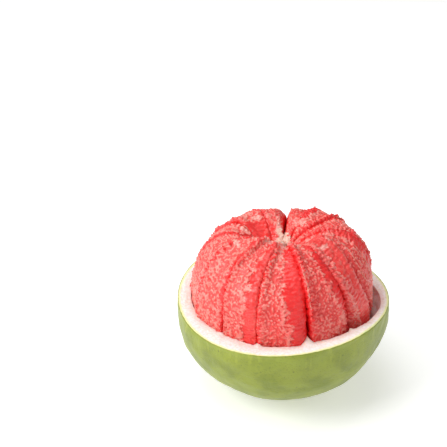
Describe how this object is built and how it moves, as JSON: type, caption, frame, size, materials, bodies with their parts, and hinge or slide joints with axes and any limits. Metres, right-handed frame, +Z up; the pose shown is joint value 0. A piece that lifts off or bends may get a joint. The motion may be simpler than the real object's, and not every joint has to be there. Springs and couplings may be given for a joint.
{
  "type": "opened pomelo",
  "caption": "Opened pomelo: the lower half of a thick green rind stands as a bowl, and the peeled red flesh, in juicy segments around a white core, rises out of it.",
  "frame": {"origin": "on the surface that the fruit rests on, under the middle of the whole object's box", "axes": "+Z up, the fruit's own axis; -Y the front, where the cut dips to the left; +X to the right, where the rind gapes from the flesh"},
  "size_m": [0.1505, 0.1504, 0.1243],
  "materials": {
    "peel": "waxy green citrus skin with fine oil pores outside, soft white pith on the cut and inside",
    "pith": "dry white spongy fibre",
    "flesh": "wet translucent coral red juice sacs"
  },
  "bodies": {
    "root": {"rind": "peel", "core": "pith", "segment_01": "flesh", "segment_02": "flesh", "segment_03": "flesh", "segment_04": "flesh", "segment_05": "flesh", "segment_06": "flesh", "segment_07": "flesh", "segment_08": "flesh", "segment_09": "flesh", "segment_10": "flesh", "segment_11": "flesh", "segment_12": "flesh", "segment_13": "flesh"}
  },
  "joints": []
}
